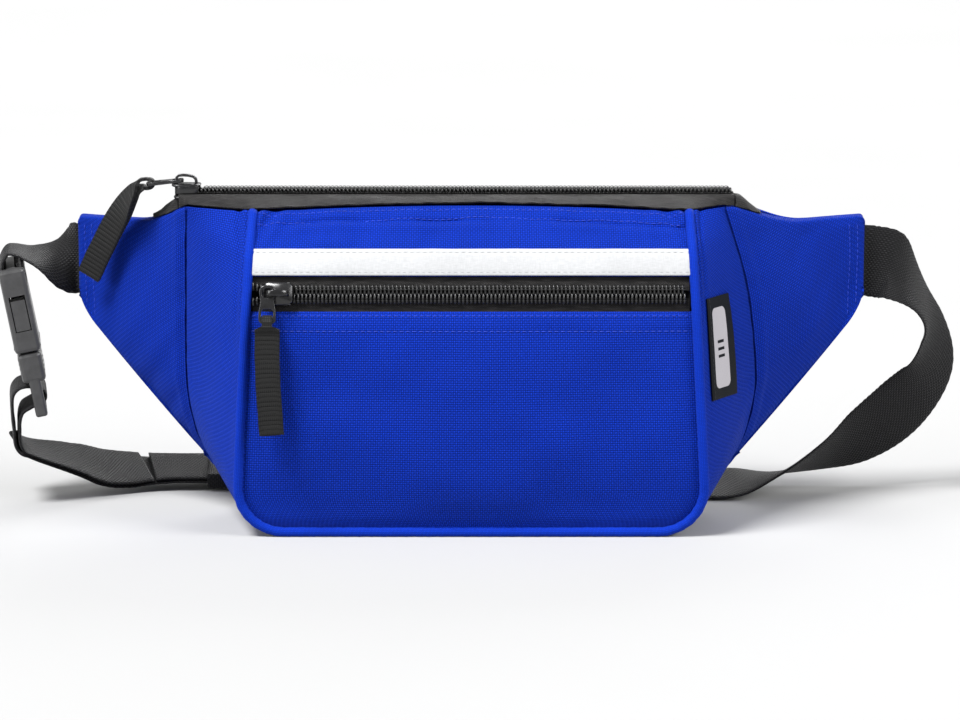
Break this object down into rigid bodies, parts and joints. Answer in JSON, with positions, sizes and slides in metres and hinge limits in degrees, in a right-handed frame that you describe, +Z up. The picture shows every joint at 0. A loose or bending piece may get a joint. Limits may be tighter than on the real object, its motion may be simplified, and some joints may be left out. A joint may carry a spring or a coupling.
{
  "type": "waist bag",
  "caption": "Waist bag with a piped front pocket, coil zips with pull tabs, sewn wings, a webbing waist strap with a keeper and a side-release buckle.",
  "frame": {"origin": "middle of the flat underside that the bag stands on", "axes": "+X to the side away from the buckle along the longest extent, +Y towards the wearer, +Z up"},
  "size_m": [0.4096, 0.1355, 0.144],
  "materials": {
    "blue_cloth": "plain-weave polyester, slight sheen",
    "white_ribbon": "satin ribbon",
    "lining": "thin plain lining",
    "zip_tape": "woven zip tape",
    "zip_coil": "nylon coil",
    "black_metal": "black enamel, satin",
    "black_webbing": "ribbed webbing",
    "black_plastic": "moulded acetal, satin",
    "label": "woven label with a plain pale mark"
  },
  "bodies": {
    "bag": {"back_panel": "blue_cloth", "contrast_stripe": "white_ribbon", "front_panel_lower": "blue_cloth", "front_panel_upper": "blue_cloth", "front_zip_coil_lower": "zip_coil", "front_zip_coil_upper": "zip_coil", "front_zip_tape_lower": "zip_tape", "front_zip_tape_upper": "zip_tape", "left_webbing": "black_webbing", "main_zip_coil_back": "zip_coil", "main_zip_coil_front": "zip_coil", "main_zip_end_left": "zip_tape", "main_zip_end_right": "zip_tape", "main_zip_tape_back": "zip_tape", "main_zip_tape_front": "zip_tape", "pocket_divider": "lining", "pocket_gusset": "blue_cloth", "pocket_piping": "blue_cloth", "side_label": "label", "strap": "black_webbing", "strap_buckle_end": "black_webbing", "wing_left_front": "blue_cloth", "wing_right_front": "blue_cloth", "buckle_socket": "black_plastic"},
    "front_slider": {"front_slider": "black_metal"},
    "front_puller": {"front_puller": "black_metal"},
    "front_pull_tab": {"front_pull_tab": "black_webbing"},
    "main_slider": {"main_slider": "black_metal"},
    "main_puller": {"main_puller": "black_metal"},
    "main_pull_tab": {"main_pull_tab": "black_webbing"},
    "buckle_plug": {"buckle_plug": "black_plastic"},
    "buckle_arm_front": {"buckle_arm_front": "black_plastic"},
    "buckle_arm_back": {"buckle_arm_back": "black_plastic"},
    "keeper": {"strap_keeper": "black_webbing"}
  },
  "joints": [
    {"name": "front_zip_slide", "type": "slide", "parent": "bag", "child": "front_slider", "axis": [1, 0, 0], "range_m": [0, 0.158], "deforming": ["front_zip_coil_lower", "front_zip_coil_upper"]},
    {"name": "front_puller_turn", "type": "hinge", "parent": "front_slider", "child": "front_puller", "pos_m": [-0.08183, -0.03592, 0.10145], "axis": [0, -0.9698, 0.2439], "range_deg": [-30, 30]},
    {"name": "front_tab_lift", "type": "hinge", "parent": "front_puller", "child": "front_pull_tab", "pos_m": [-0.08183, -0.0387, 0.0904], "axis": [-1, 0, 0], "range_deg": [0, 90]},
    {"name": "main_zip_slide", "type": "slide", "parent": "bag", "child": "main_slider", "axis": [1, 0, 0], "range_m": [0, 0.214], "deforming": ["main_zip_coil_front", "main_zip_coil_back", "main_pull_tab"]},
    {"name": "main_puller_lift", "type": "hinge", "parent": "main_slider", "child": "main_puller", "pos_m": [-0.1187, 0.009, 0.1414], "axis": [0, 1, 0], "range_deg": [0, 120]},
    {"name": "main_tab_lift", "type": "hinge", "parent": "main_puller", "child": "main_pull_tab", "pos_m": [-0.13252, 0.009, 0.13995], "axis": [0, 1, 0], "range_deg": [0, 70]},
    {"name": "buckle_release", "type": "slide", "parent": "bag", "child": "buckle_plug", "axis": [0.1858, 0.0241, -0.9823], "range_m": [0, 0.03], "deforming": ["strap_buckle_end", "buckle_arm_front", "buckle_arm_back"]},
    {"name": "buckle_arm_front_press", "type": "hinge", "parent": "buckle_plug", "child": "buckle_arm_front", "pos_m": [-0.18641, 0.03315, 0.06703], "axis": [-0.9741, -0.1265, -0.1874], "range_deg": [0, 8], "stiffness_Nm_per_rad": 0.5},
    {"name": "buckle_arm_back_press", "type": "hinge", "parent": "buckle_plug", "child": "buckle_arm_back", "pos_m": [-0.18947, 0.05675, 0.06703], "axis": [0.9741, 0.1265, 0.1874], "range_deg": [0, 8], "stiffness_Nm_per_rad": 0.5},
    {"name": "keeper_slide", "type": "slide", "parent": "bag", "child": "keeper", "axis": [1, 0, 0], "range_m": [-0.008, 0.012]}
  ]
}
